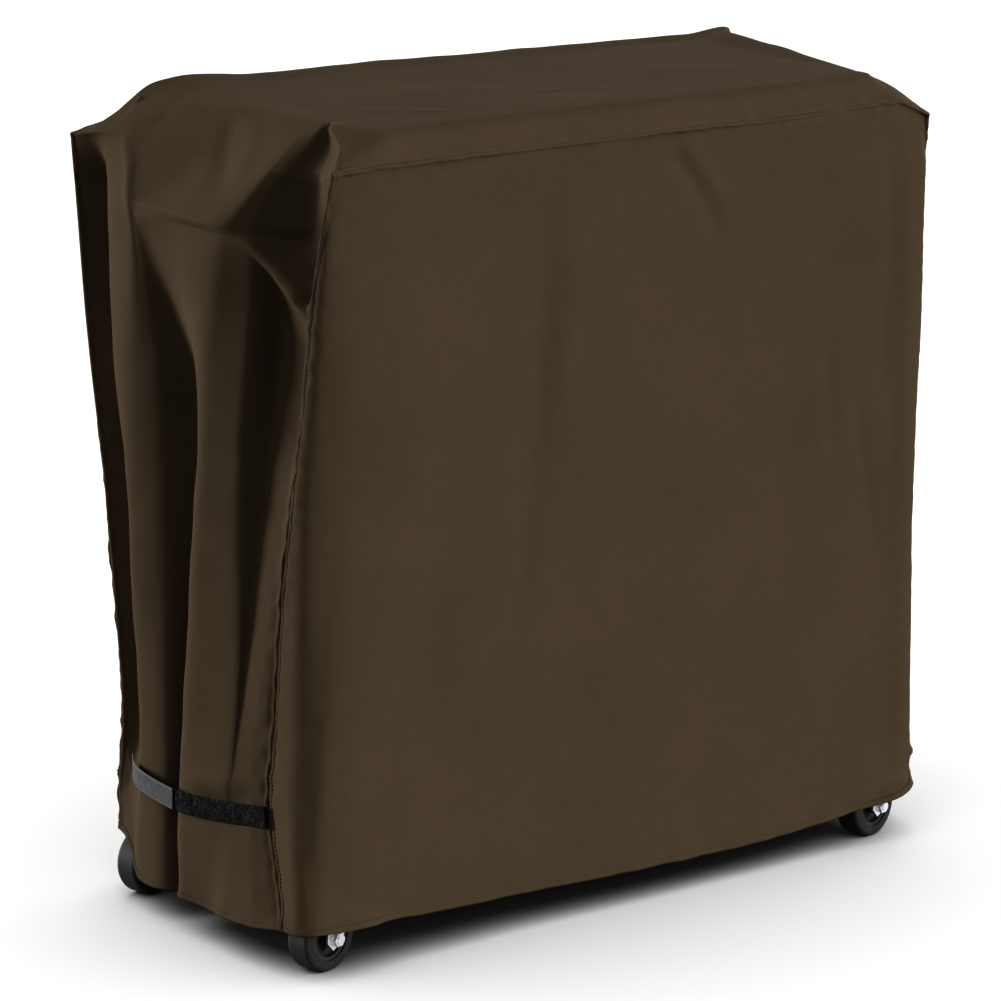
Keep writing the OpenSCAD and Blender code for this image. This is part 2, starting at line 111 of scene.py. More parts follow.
# Lines that run from the hem up to the end handle, as (z, distance out from the middle, y):
# ridges hang from the ends of the handle, and the cloth folds in between them.
LEFT_FOLDS = [
    # front seam
    [(.050, .452, -.164), (.121, .444, -.138), (.166, .441, -.124), (.258, .437, -.129), (.399, .432, -.137),
     (.512, .428, -.152), (.678, .425, -.178), (.800, .424, -.204)],
    # just inside the front seam
    [(.048, .456, -.150), (.166, .445, -.114), (.300, .4395, -.122), (.400, .433, -.131),
     (.500, .4275, -.146), (.600, .420, -.160), (.680, .417, -.175), (.706, .4185, -.179),
     (.727, .4225, -.183), (.740, .4155, -.1875), (.775, .412, -.197), (.800, .411, -.199)],
    # front lobe, crossed by the fold that runs down from the handle to the seam
    [(.043, .461, -.120), (.166, .4485, -.098), (.300, .4415, -.108), (.400, .434, -.120),
     (.500, .4245, -.136), (.600, .413, -.150), (.680, .411, -.160), (.712, .419, -.165),
     (.7385, .4315, -.1695), (.747, .420, -.173), (.758, .407, -.180), (.775, .402, -.187),
     (.800, .402, -.192)],
    # front valley
    [(.040, .462, -.070), (.160, .452, -.070), (.300, .442, -.083), (.400, .434, -.093), (.500, .424, -.102),
     (.600, .414, -.113), (.700, .412, -.124), (.735, .422, -.129), (.752, .434, -.134), (.763, .443, -.137),
     (.770, .431, -.140), (.780, .408, -.147), (.790, .400, -.156), (.800, .399, -.162)],
    # front ridge, its rounded front side
    [(.040, .458, -.022), (.160, .455, -.045), (.260, .451, -.060), (.360, .449, -.068), (.500, .447, -.074),
     (.600, .446, -.083), (.690, .444, -.098), (.740, .445, -.105), (.770, .449, -.109), (.783, .453, -.108),
     (.792, .447, -.108), (.800, .445, -.109)],
    # front ridge
    [(.041, .462, .012), (.109, .460, .012), (.212, .458, .002), (.406, .456, -.019), (.522, .456, -.034),
     (.683, .458, -.058), (.760, .460, -.078), (.800, .4605, -.089)],
    # middle valley
    [(.036, .404, .046), (.200, .404, .044), (.350, .405, .040), (.500, .409, .032), (.600, .415, .040),
     (.680, .430, .058), (.750, .449, .070), (.800, .460, .080)],
    # back ridge, its side towards the valley
    [(.035, .452, .067), (.200, .448, .066), (.380, .446, .070), (.500, .446, .073), (.600, .447, .073),
     (.680, .450, .082), (.750, .456, .090), (.800, .461, .094)],
    # back ridge
    [(.034, .455, .107), (.188, .452, .103), (.380, .454, .109), (.583, .456, .104), (.800, .460, .101)],
    # shoulder of the back ridge
    [(.062, .441, .146), (.110, .439, .145), (.180, .430, .140), (.300, .427, .140), (.450, .434, .144),
     (.630, .441, .164), (.720, .440, .170), (.800, .438, .172)],
    # back valley
    [(.073, .438, .166), (.110, .436, .165), (.180, .424, .160), (.300, .414, .160), (.450, .416, .172),
     (.630, .415, .190), (.720, .411, .199), (.800, .409, .204)],
    # back seam
    [(.076, .436, .1805), (.110, .436, .180), (.204, .4325, .175), (.367, .433, .188), (.490, .435, .200),
     (.623, .438, .219), (.757, .442, .228), (.800, .443, .231)],
]
# Height at which the gusset, the fold from the handle down to the front seam, crosses each of those lines.
LEFT_BENDS = [.724, .727, .7385, .763, .783, .788, .788, .788, .788, .788, .788, .788]
RIGHT_BEND = .705
RIGHT_FOLDS = [
    [(.074, .430, -.178), (.166, .428, -.178), (.400, .428, -.180), (.600, .430, -.183), (.800, .431, -.190)],
    [(.070, .436, -.166), (.166, .433, -.166), (.400, .429, -.166), (.600, .425, -.172), (.800, .421, -.184)],
    [(.055, .452, -.135), (.300, .440, -.130), (.600, .420, -.145), (.800, .407, -.172)],
    [(.040, .457, -.095), (.300, .438, -.080), (.600, .409, -.100), (.800, .402, -.148)],
    [(.038, .457, -.055), (.300, .453, -.062), (.600, .450, -.084), (.800, .448, -.104)],
    [(.036, .461, -.022), (.300, .459, -.032), (.600, .459, -.060), (.800, .461, -.088)],
    [(.034, .402, .036), (.300, .404, .040), (.600, .420, .048), (.740, .445, .052), (.800, .4605, .050)],
    [(.034, .452, .072), (.300, .449, .078), (.600, .449, .078), (.740, .456, .088), (.800, .461, .090)],
    [(.035, .459, .100), (.300, .456, .106), (.600, .457, .104), (.800, .461, .101)],
    [(.062, .441, .146), (.110, .439, .145), (.300, .430, .140), (.600, .438, .160), (.800, .441, .172)],
    [(.073, .438, .166), (.110, .436, .165), (.300, .418, .160), (.600, .414, .186), (.800, .411, .203)],
    [(.076, .436, .1805), (.110, .436, .180), (.204, .4325, .175), (.490, .435, .200), (.757, .442, .226),
     (.800, .443, .229)],
]
# Rows of the strip over the top, from the left handle to the right one, in the same columns but for the two
# that round off the ridges, which widened() adds.
# The left slope carries the ear of the front seam and the pocket behind it.
LEFT_CORNER = [
    (-.424, -.226, .868), (-.424, -.2235, .8695), (-.4215, -.2195, .866), (-.396, -.166, .850),
    (-.426, -.119, .858), (-.416, .020, .856), (-.431, .143, .868), (-.436, .176, .866),
    (-.441, .208, .861), (-.445, .235, .857)]
LEFT_SLOPE = [
    (-.398, -.2245, .869), (-.398, -.212, .879), (-.396, -.200, .8855), (-.377, -.158, .869),
    (-.401, -.122, .881), (-.392, .020, .881), (-.405, .162, .884), (-.408, .186, .881),
    (-.414, .213, .873), (-.420, .234, .862)]
LEFT_EDGE = [
    (-.362, -.2225, .870), (-.356, -.209, .8905), (-.357, -.130, .9005), (-.354, -.124, .896),
    (-.364, -.113, .9005), (-.366, .020, .901), (-.380, .180, .897), (-.370, .198, .902),
    (-.366, .210, .901), (-.374, .230, .868)]
LEFT_FLAT = [
    (-.325, -.222, .870), (-.325, -.202, .896), (-.322, -.126, .900), (-.324, -.100, .901),
    (-.326, -.070, .902), (-.328, .020, .904), (-.335, .150, .9065), (-.338, .180, .9085),
    (-.338, .199, .9085), (-.340, .226, .868)]
RIGHT_FLAT = [
    (.335, -.222, .874), (.340, -.190, .891), (.350, -.130, .895), (.355, -.100, .896), (.360, -.070, .897),
    (.365, .030, .901), (.370, .110, .903), (.380, .155, .902), (.385, .188, .900), (.385, .220, .868)]
RIGHT_EDGE = [
    (.372, -.222, .871), (.382, -.196, .880), (.396, -.150, .883), (.403, -.115, .886), (.408, -.075, .889),
    (.411, .030, .900), (.415, .110, .906), (.432, .155, .904), (.453, .186, .900), (.440, .222, .870)]
RIGHT_CORNER = [
    (.410, -.218, .854), (.4155, -.208, .854), (.426, -.176, .855), (.431, -.135, .859), (.436, -.090, .863),
    (.440, .030, .868), (.444, .120, .874), (.452, .165, .872), (.458, .196, .868), (.447, .230, .857)]
FLAT_Y = [-.222, -.197, -.130, -.080, -.030, .035, .100, .160, .197, .222]
FLAT_Z = [.871, .898, .900, .901, .902, .903, .904, .905, .904, .868]
FLAT_XS = [-.24, -.12, 0, .12, .24]
BACK_DROP = 2 * MM                  # how much lower the back half of the top is at the right

# Lines of the front panel besides its seams, as (z, x, y): it turns softly round the left corner.
FRONT_LINES = [
    [(.051, -.4535, -.191), (.100, -.450, -.186), (.160, -.444, -.174),
     (.260, -.437, -.170), (.400, -.428, -.173), (.500, -.421, -.176),
     (.660, -.418, -.194), (.800, -.418, -.213), (.868, -.4185, -.2235)],
    [(.053, -.440, -.207), (.160, -.434, -.194), (.260, -.424, -.192), (.400, -.406, -.1915),
     (.500, -.394, -.1935), (.660, -.393, -.206), (.800, -.398, -.2165), (.869, -.400, -.223)],
    [(.056, -.405, -.209), (.160, -.408, -.2055), (.260, -.396, -.2055), (.400, -.366, -.206),
     (.500, -.345, -.206), (.660, -.345, -.213), (.800, -.352, -.219), (.870, -.355, -.2225)],
    [(.049, -.300, -.2085), (.300, -.285, -.2095), (.500, -.260, -.2105),
     (.660, -.260, -.215), (.871, -.270, -.222)],
    [(.042, -.130, -.2065), (.300, -.130, -.208), (.500, -.130, -.210),
     (.660, -.130, -.214), (.872, -.130, -.222)],
    [(.038, .030, -.2065), (.300, .030, -.209), (.500, .030, -.211),
     (.660, .030, -.215), (.872, .030, -.222)],
    [(.036, .180, -.2065), (.300, .180, -.209), (.500, .180, -.211),
     (.660, .180, -.215), (.872, .180, -.222)],
    [(.043, .310, -.207), (.300, .310, -.2075), (.500, .310, -.209),
     (.660, .310, -.213), (.874, .300, -.222)],
    [(.052, .372, -.207), (.300, .370, -.207), (.500, .372, -.2085),
     (.660, .372, -.213), (.871, .360, -.222)],
    [(.062, .400, -.2065), (.300, .398, -.2065), (.500, .402, -.2075),
     (.660, .404, -.211), (.858, .396, -.221)],
    [(.072, .4165, -.198), (.300, .4155, -.198), (.500, .418, -.199),
     (.660, .421, -.202), (.856, .408, -.219)],
]
BACK_Z = (.300, .500, .660, .868)
BACK_OUTER = (.209, .209, .210, .214, .222)
BACK_INNER = (.208, .209, .211, .214, .222)
BACK_MIDDLE = (.208, .210, .212, .215, .222)
BACK_LINES = [
    [(.074, -.421, .2005), (.110, -.421, .200), (.204, -.419, .190), (.367, -.422, .200), (.490, -.427, .206),
     (.660, -.430, .220), (.857, -.430, .231)],
    [(.068, -.398, .207), (.204, -.400, .204), (.367, -.400, .208), (.490, -.402, .210), (.660, -.402, .214),
     (.862, -.402, .226)],
    *[[(z, x, y) for z, y in zip((low, *BACK_Z), ys)] for x, low, ys in (
        (-.355, .056, BACK_OUTER), (-.180, .046, BACK_INNER), (.000, .044, BACK_MIDDLE),
        (.180, .046, BACK_INNER), (.355, .056, BACK_OUTER))],
    [(.068, .398, .207), (.204, .400, .204), (.367, .400, .208), (.490, .402, .210), (.660, .402, .214),
     (.864, .402, .223)],
    [(.074, .421, .2005), (.110, .421, .200), (.204, .419, .190), (.367, .422, .200), (.490, .427, .206),
     (.660, .430, .220), (.859, .432, .228)],
]

CELL = 5 * MM                       # size of the cloth's cells
SEAM_CELLS = [1.6 * MM, 3.2 * MM, 4.4 * MM, 5.4 * MM, 7.0 * MM, 9.5 * MM]   # finer cells beside a seam or hem
STITCH_AT = 4.9 * MM                # distance of the topstitching from a seam
STILL = 10 * MM                     # a panel's folds fade out this far from its seams
TOP_BLEND = 90 * MM                 # how far down a panel still follows the top seam's exact line
HEM_AT = 7 * MM                     # distance of the hem's stitching from its edge
BEND_AT = 0.875                     # share of an end's control rows that lie below the gusset
END_LEVELS = 81                     # control rows on each end
TURN = (0.10, 0.90)                 # where the cloth leaves a fold, as a share of the way to the next
ROUND_AT = (0.86, 0.75)             # how far from a valley to its ridge the rounding columns lie
SHARP_COLUMNS = (0, 1, 2, 4, 10)    # columns of the strip that are followed by a tight turn


def widened(row):
    """A row over the top with the two columns added that round off the ridges."""
    row = [np.array(p, float) for p in row]
    front, back = row[3] + (row[4] - row[3]) * ROUND_AT[0], row[5] + (row[6] - row[5]) * ROUND_AT[1]
    return row[:4] + [front] + row[4:6] + [back] + row[6:]


def ends(folds, side, bends):
    """Control rows of one end of the strip, from the hem up to the handle; one row follows the bends."""
    rows = []
    for t in np.linspace(0, 1, END_LEVELS):
        row = []
        for fold, bend in zip(folds, bends):
            z = np.interp(t, [0, BEND_AT, 1], [fold[0][0], bend, fold[-1][0]])
            out, y = line_at(fold, [z])[0]
            row.append((side * out, y, z))
        rows.append(row)
    return rows


def eased(rows, after):
    """The rows with two more after each listed one, so that edges turn tightly."""
    rows = [np.array(r, float) for r in rows]
    out = []
    for i, row in enumerate(rows):
        out.append(row)
        if i in after:
            out += [row + (rows[i + 1] - row) * t for t in TURN]
    return np.array(out)


def spaced(knots, lengths, cells):
    """Rising parameters between knots, spread evenly, with finer cells at both ends."""
    total = lengths[-1]
    inner = np.linspace(SEAM_CELLS[-1], total - SEAM_CELLS[-1], cells)
    fine = SEAM_CELLS[:-1]
    at = np.concatenate([[0], fine, inner, [total - f for f in reversed(fine)], [total]])
    return np.interp(at, lengths, knots)


def lengths_along(points):
    """Distance along a row of points, averaged over the rows of a grid when there are several."""
    step = np.linalg.norm(np.diff(points, axis=0), axis=-1)
    while step.ndim > 1:
        step = step.mean(axis=1)
    return np.concatenate([[0], np.cumsum(step)])


def make_strip():
    """Grid of the strip, and the rows at which its left and right seam corners lie."""
    flats = []
    for i, x in enumerate(FLAT_XS):
        lift = -BACK_DROP * i / (len(FLAT_XS) - 1)
        flats.append([(x, y, z + (lift if y > 0 else 0)) for y, z in zip(FLAT_Y, FLAT_Z)])
    left = ends(LEFT_FOLDS, -1, LEFT_BENDS)
    right = ends(RIGHT_FOLDS, 1, [RIGHT_BEND] * len(RIGHT_FOLDS))[::-1]
    over = [LEFT_CORNER, LEFT_SLOPE, LEFT_EDGE, LEFT_FLAT] + flats + [RIGHT_FLAT, RIGHT_EDGE, RIGHT_CORNER]
    rows = left + [widened(row) for row in over] + right
    n = len(left)
    turns = [n - 1, n, len(rows) - n - 2, len(rows) - n - 1]
    net = eased(rows, turns)
    corner_l = n - 1 + 3
    corner_r = len(net) - 1 - (n - 1 + 3)
    net = eased(net.transpose(1, 0, 2), SHARP_COLUMNS)   # columns first
    across = lengths_along(net)
    along = lengths_along(net.transpose(1, 0, 2))
    cols = spaced(np.arange(len(across)), across, int(across[-1] / CELL))
    parts = []
    for a, b in ((0, corner_l), (corner_l, corner_r), (corner_r, len(along) - 1)):
        length = along[corner_r] - along[corner_l] if parts and a == corner_l else along[corner_l]
        part = spaced(np.arange(a, b + 1), along[a:b + 1] - along[a], int(length / CELL))
        parts.append(part if not parts else part[1:])
    rows_at = np.concatenate(parts)
    along_at = np.interp(rows_at, np.arange(len(along)), along)
    across_at = np.interp(cols, np.arange(len(across)), across)
    grid = np.einsum("ri,cj,jik->rck", basis(along, along_at), basis(across, across_at), net)
    row_l = len(parts[0]) - 1
    row_r = row_l + len(parts[1])
    return grid, row_l, row_r


def make_panel(lines, left, right, top):
    """Grid of a panel (rows up, columns to the right) between its two seams and the top seam."""
    shares = [(edge[:, 2] - edge[0, 2]) / (edge[-1, 2] - edge[0, 2]) for edge in (left, right)]
    columns = [left]
    for k, line in enumerate(lines):
        t = (k + 1) / (len(lines) + 1)
        share = shares[0] * (1 - t) + shares[1] * t
        z = line[0][0] + (line[-1][0] - line[0][0]) * share
        xy = line_at(line, z)
        columns.append(np.stack([xy[:, 0], xy[:, 1], z], axis=1))
    columns.append(right)
    net = np.array(columns)
    knots = lengths_along(net)
    at = lengths_along(top)
    grid = np.einsum("cj,jik->ick", basis(knots, at / at[-1] * knots[-1]), net)
    grid[:, 0], grid[:, -1] = left, right
    below = lengths_along(left)[-1] - lengths_along(left)
    weight = 1 - smooth(0, TOP_BLEND, below)
    grid += weight[:, None, None] * (top - grid[-1])[None]
    return grid


# ---- folds, puckers and bands on the grids


def normals(grid, flip):
    """Unit normal at every point of a grid."""
    down = np.gradient(grid, axis=0)
    over = np.gradient(grid, axis=1)
    n = np.cross(down, over)
    n /= np.maximum(np.linalg.norm(n, axis=-1, keepdims=True), 1e-12)
    return -n if flip else n


def crease(grid, normal, points, width, depth, sharp=False):
    """Pushes a fold into the cloth along a line of points: depth out (or in, if negative), width across."""
    points = np.array(points, float)
    best = np.full(grid.shape[:2], 1e9)
    along = np.zeros(grid.shape[:2])
    total = lengths_along(points)
    for a, b, start, end in zip(points[:-1], points[1:], total[:-1], total[1:]):
        d = b - a
        t = np.clip(((grid - a) @ d) / (d @ d), 0, 1)
        dist = np.linalg.norm(grid - a - t[..., None] * d, axis=-1)
        near = dist < best
        best = np.where(near, dist, best)
        along = np.where(near, (start + t * (end - start)) / total[-1], along)
    profile = np.exp(-best / width) if sharp else np.exp(-(best / width) ** 2)
    fade = smooth(0, .3, along) * (1 - smooth(.65, 1, along))
    return grid + normal * (depth * profile * fade)[..., None]


UPRIGHT = (1, 1, .6)                # unevenness that is longer up and down


def ripple(grid, normal, scale, depth, seed, stretch=(1, 1, 1)):
    """Broad, soft unevenness of hanging cloth."""
    shift = Vector((seed * 7.1, seed * 3.7, seed * 5.3))
    flat = grid.reshape(-1, 3) * np.array(stretch) / scale
    value = np.array([noise.noise(Vector(p) + shift) for p in flat]).reshape(grid.shape[:2])
    return grid + normal * (depth * value)[..., None]


def edge_distance(grid, side):
    """Distance of every point from an edge of the grid: its first or last row, its left or right column."""
    axis = 0 if side in ("first", "last") else 1
    order = slice(None, None, -1) if side in ("last", "right") else slice(None)
    g = grid[order] if axis == 0 else grid[:, order]
    step = np.linalg.norm(np.diff(g, axis=axis), axis=-1)
    zero = np.zeros_like(g[..., 0].take([0], axis=axis))
    d = np.concatenate([zero, np.cumsum(step, axis=axis)], axis=axis)
    return d[order] if axis == 0 else d[:, order]


def pucker(grid, normal, dist, seed, depth=1.5 * MM, reach=15 * MM, period=13 * MM):
    """Small puckers across a seam, strongest beside it. Zero on the seam itself."""
    shift = Vector((seed * 2.3, seed * 9.1, seed * 4.7))
    flat = grid.reshape(-1, 3) / period
    value = np.array([noise.noise(Vector(p) + shift) for p in flat]).reshape(grid.shape[:2])
    gate = smooth(0, 2.5 * MM, dist) * np.exp(-dist / reach)
    return grid + normal * (2 * depth * value * gate)[..., None]


def band(grid, normal, dist, at, raise_by, groove):
    """A sewn edge: the cloth is doubled up to the stitch line near the edge, and dips along that line."""
    up = raise_by * smooth(0, 1.5 * MM, dist) * (1 - smooth(at - 1 * MM, at + .6 * MM, dist))
    dip = groove * np.exp(-((dist - at) / (.8 * MM)) ** 2)
    return grid + normal * (up - dip)[..., None]


# How far a swivelling wheel reaches from its swivel axis, by height
WHEEL_REACH = [(0, .030), (.020, .052), (.038, .0575), (.055, .0545), (.066, .047), (.076, .030), (.09, .0)]
FADE_UP = (.07, .15)                # heights, and distances from the axis, over which the push ends
FADE_OUT = (.07, .09)


def clear_casters(grid):
    """Cloth near a caster stands outside the circle that its wheel sweeps as it swivels."""
    room, soft = 5 * MM, 5 * MM
    out = grid.copy()
    for corner in CORNERS:
        centre = caster_centre(corner)
        d = out[..., :2] - centre
        r = np.linalg.norm(d, axis=-1)
        reach = np.interp(out[..., 2], *zip(*WHEEL_REACH)) + room
        push = soft * np.log1p(np.exp(np.clip((reach - r) / soft, -30, 30)))
        push *= (1 - smooth(*FADE_UP, out[..., 2])) * (1 - smooth(*FADE_OUT, r))
        out[..., :2] += d / np.maximum(r, 1e-6)[..., None] * push[..., None]
    return out


SOFT_NODES = ("panel", "hem", "strap")       # nodes that are cloth
TURNING_NODES = ("fork", "axle", "hub", "tyre", "kingpins", "swivel")
REACH = 45 * MM                     # how far outside the cloth a part of the cart is still found
NORMAL_BLURS = 8                    # how evenly the cloth is pushed out
TENT_BLURS = 24                     # how wide the cloth tents over what it is pushed out by


def cart_tree():
    """The cart's fixed parts, for asking how far out they reach."""
    verts, faces = [], []
    for node, obj in frame["nodes"].items():
        if any(word in node for word in SOFT_NODES + TURNING_NODES):
            continue
        base = len(verts)
        verts += [v.co.copy() for v in obj.data.vertices]
        faces += [[base + i for i in p.vertices] for p in obj.data.polygons]
    return BVHTree.FromPolygons(verts, faces)


def blurred(field):
    """Mean of a field with its neighbours."""
    p = np.pad(field, 1, mode="edge")
    return (p[:-2, 1:-1] + p[2:, 1:-1] + p[1:-1, :-2] + p[1:-1, 2:] + 2 * field) / 6


def clear_cart(grid, normal, tree, room=3.4 * MM):
    """Cloth that would cut into the cart is pushed out over it, and the cloth round it tents."""
    for _ in range(NORMAL_BLURS):
        normal = np.stack([blurred(part) for part in np.moveaxis(normal, -1, 0)], axis=-1)
    normal = normal / np.linalg.norm(normal, axis=-1, keepdims=True)
    push = np.zeros(grid.shape[:2])
    for i in range(grid.shape[0]):
        for j in range(grid.shape[1]):
            n = Vector(normal[i, j])
            hit = tree.ray_cast(Vector(grid[i, j]) + n * REACH, -n, REACH + room)
            if hit[0] is not None:
                push[i, j] = REACH + room - hit[3]
    spread = push
    for _ in range(TENT_BLURS):
        spread = np.maximum(push, blurred(spread))
    return grid + normal * spread[..., None]


CORNERS = ["front_left", "front_right", "back_left", "back_right"]


def caster_centre(corner):
    """Swivel axis of a caster in plan, the middle of its top plate."""
    low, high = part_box(corner + "_plate")
    return np.array([(low.x + high.x) / 2, (low.y + high.y) / 2])


# Folds worked into the panels, as (points, width, depth, sharp)
FRONT_CREASES = [
    ([(-.138, -.212, .845), (-.140, -.212, .72), (-.150, -.21, .55), (-.165, -.208, .40),
      (-.20, -.208, .22)], .018, -4.5 * MM, False),
    ([(-.105, -.212, .83), (-.108, -.212, .70), (-.118, -.21, .52)], .020, 3 * MM, False),
    ([(-.185, -.212, .60), (-.235, -.209, .36), (-.28, -.207, .20)], .030, 3 * MM, False),
    ([(.010, -.222, .872), (.045, -.218, .835), (.085, -.214, .780), (.120, -.212, .715)],
     .011, -3.5 * MM, False),
    ([(.030, -.22, .868), (.075, -.216, .825), (.120, -.213, .770)], .012, 2.4 * MM, False),
    ([(.355, -.22, .84), (.358, -.213, .66), (.352, -.21, .50)], .010, -2.6 * MM, False),
    ([(.380, -.22, .83), (.385, -.213, .62), (.392, -.208, .40)], .010, 2.4 * MM, False),
    ([(.262, -.212, .64), (.275, -.21, .55), (.282, -.21, .44)], .013, -2.2 * MM, False),
    ([(.300, -.212, .60), (.345, -.208, .40), (.365, -.207, .28)], .011, -2 * MM, False),
    ([(.215, -.212, .63), (.120, -.209, .45), (-.010, -.208, .24)], .034, 3.2 * MM, False),
    ([(.270, -.212, .66), (.200, -.209, .47), (.080, -.208, .26)], .022, -2.6 * MM, False),
    ([(-.447, -.150, .270), (-.436, -.185, .272), (-.415, -.20, .276)], .006, -2.2 * MM, True),
    ([(-.447, -.15, .255), (-.448, -.17, .16), (-.452, -.18, .075)], .006, 2.6 * MM, True),
]
TOP_CREASES = [
    ([(-.330, .165, .905), (-.345, .154, .899), (-.377, .131, .888), (-.399, .124, .874), (-.425, .110, .850)],
     .0100, -6 * MM, False),
    ([(-.405, .160, .882), (-.430, .140, .858), (-.446, .118, .834), (-.460, .102, .800), (-.462, .098, .76)],
     .0080, 4 * MM, False),
    ([(-.350, .035, .90), (-.385, .012, .885), (-.425, -.030, .840), (-.450, -.070, .815)],
     .014, -3.6 * MM, False),
    ([(-.365, -.02, .90), (-.41, -.06, .86), (-.445, -.085, .82)], .012, 2.2 * MM, False),
    ([(-.300, -.06, .90), (-.24, -.10, .90), (-.17, -.15, .90)], .018, 2.2 * MM, False),
    ([(-.02, -.19, .90), (.06, -.12, .90), (.13, -.05, .90), (.22, .03, .90)], .012, 2.6 * MM, False),
    ([(.00, -.16, .90), (.075, -.09, .90), (.16, .01, .90)], .014, -2.4 * MM, False),
    ([(-.06, -.05, .90), (.02, -.09, .90), (.07, -.13, .90)], .010, 1.8 * MM, False),
    ([(.20, -.12, .90), (.26, -.03, .90), (.31, .06, .90)], .016, 1.8 * MM, False),
    ([(-.460, .095, .800), (-.459, .06, .790), (-.457, .03, .775)], .012, 1.5 * MM, False),
    # the strap draws the cloth in, and it stands out above
    ([(-.462, .02, .180), (-.455, -.03, .185), (-.447, -.10, .190)], .012, 5 * MM, False),
    ([(-.455, -.01, .158), (-.448, -.05, .160), (-.443, -.10, .162)], .010, -5 * MM, False),
]


def share_seams(strip, front, back, row_l, row_r):
    """Each panel's edges lie on the strip's edges again."""
    for panel, col in ((front, 0), (back, -1)):
        for edge, seam in (
            (panel[:, 0], strip[:row_l + 1, col]),
            (panel[:, -1], strip[row_r:, col][::-1]),
            (panel[-1], strip[row_l:row_r + 1, col]),
        ):
            middle = (edge + seam) / 2
            edge[:] = middle
            seam[:] = middle


def shape_cover():
    """Grids of the three cloths of the cover, their edges shared along the seams."""
    strip, row_l, row_r = make_strip()
    last = len(strip) - 1
    n = normals(strip, False)
    for points, width, depth, sharp in TOP_CREASES:
        strip = crease(strip, n, points, width, depth, sharp)
    strip = ripple(strip, n, scale=.16, depth=3.4 * MM, seed=1)
    strip = ripple(strip, n, scale=.05, depth=1.2 * MM, seed=2)
    front = make_panel(FRONT_LINES, strip[:row_l + 1, 0], strip[row_r:, 0][::-1], strip[row_l:row_r + 1, 0])
    back = make_panel(BACK_LINES, strip[:row_l + 1, -1], strip[row_r:, -1][::-1], strip[row_l:row_r + 1, -1])
    panels = []
    for grid, flip, creases, seed in ((front, True, FRONT_CREASES, 3), (back, False, [], 4)):
        inside = np.minimum(edge_distance(grid, "left"), edge_distance(grid, "right"))
        inside = np.minimum(inside, edge_distance(grid, "last"))
        gate = smooth(0, STILL, inside)[..., None]
        shaped = grid
        m = normals(grid, flip)
        for points, width, depth, sharp in creases:
            shaped = crease(shaped, m, points, width, depth, sharp)
        shaped = ripple(shaped, m, scale=.22, depth=5 * MM, seed=seed, stretch=UPRIGHT)
        shaped = ripple(shaped, m, scale=.07, depth=1.5 * MM, seed=seed + 5, stretch=UPRIGHT)
        panels.append(grid + (shaped - grid) * gate)
    front, back = panels
    tree = cart_tree()
    cleared = []
    for grid, flip in ((strip, False), (front, True), (back, False)):
        grid = clear_cart(grid, normals(grid, flip), tree)
        cleared.append(clear_casters(grid))
    share_seams(*cleared, row_l, row_r)
    out = []
    for grid, flip in zip(cleared, (False, True, False)):
        m = normals(grid, flip)
        seams = np.minimum(edge_distance(grid, "left"), edge_distance(grid, "right"))
        if grid.shape[0] == last + 1:
            hem = np.minimum(edge_distance(grid, "first"), edge_distance(grid, "last"))
        else:
            seams = np.minimum(seams, edge_distance(grid, "last"))
            hem = edge_distance(grid, "first")
        grid = pucker(grid, m, seams, len(out) + 11)
        grid = pucker(grid, m, hem + 3 * MM, len(out) + 21, depth=1.3 * MM, reach=18 * MM, period=24 * MM)
        groove = 0 if grid.shape[0] == last + 1 else .8 * MM
        grid = band(grid, m, seams, STITCH_AT, 1.1 * MM, groove)
        grid = band(grid, m, hem, HEM_AT, .7 * MM, .5 * MM)
        out.append((grid, seams, hem))
    return out, row_l, row_r


# ---- meshes


def add_mesh(name, verts, faces, uvs=None):
    """A mesh object with those corners and faces, and a map of flat cloth in metres if uvs is given."""
    mesh = bpy.data.meshes.new(name)
    mesh.from_pydata([tuple(v) for v in verts], [], [tuple(int(i) for i in f) for f in faces])
    if uvs is not None:
        layer = mesh.uv_layers.new(name="cloth")
        loops = np.zeros(len(mesh.loops), int)
        mesh.loops.foreach_get("vertex_index", loops)
        layer.data.foreach_set("uv", np.asarray(uvs, float)[loops].astype(np.float32).ravel())
    mesh.polygons.foreach_set("use_smooth", [True] * len(mesh.polygons))
    obj = bpy.data.objects.new(name, mesh)
    bpy.context.scene.collection.objects.link(obj)
    return obj


def grid_faces(rows, cols, flip):
    """Quads of a grid, facing out."""
    i, j = np.meshgrid(np.arange(rows - 1), np.arange(cols - 1), indexing="ij")
    a = (i * cols + j).ravel()
    quads = np.stack([a, a + cols, a + cols + 1, a + 1], axis=1)
    return quads[:, ::-1] if flip else quads


def flat_map(grid):
    """Where each point lies on the flat cloth, in metres."""
    u = edge_distance(grid, "left")
    v = edge_distance(grid, "first")
    u = u - u[:, grid.shape[1] // 2][:, None]
    v = np.broadcast_to(v[:, grid.shape[1] // 2][:, None], u.shape)
    return np.stack([u, v], axis=-1).reshape(-1, 2)


CLOTH_T = 0.9 * MM                  # thickness of the cloth
HEM_T = 2.2 * MM                    # thickness of a doubled hem or seam


def cloth_piece(name, grid, seams, hem, flip):
    """Cloth of real thickness from a grid: it is doubled at the hem and along the seams."""
    rows, cols = grid.shape[:2]
    obj = add_mesh(name, grid.reshape(-1, 3), grid_faces(rows, cols, flip), flat_map(grid))
    thick = obj.vertex_groups.new(name="thick")
    near = np.minimum(hem / HEM_AT, seams / STITCH_AT).ravel()
    for i in np.nonzero(near < 1)[0]:
        thick.add([int(i)], 1.0, "REPLACE")
    solid = obj.modifiers.new("thickness", "SOLIDIFY")
    solid.thickness = HEM_T
    solid.offset = -1
    solid.vertex_group = "thick"
    solid.thickness_vertex_group = CLOTH_T / HEM_T
    solid.use_rim = True
    return obj


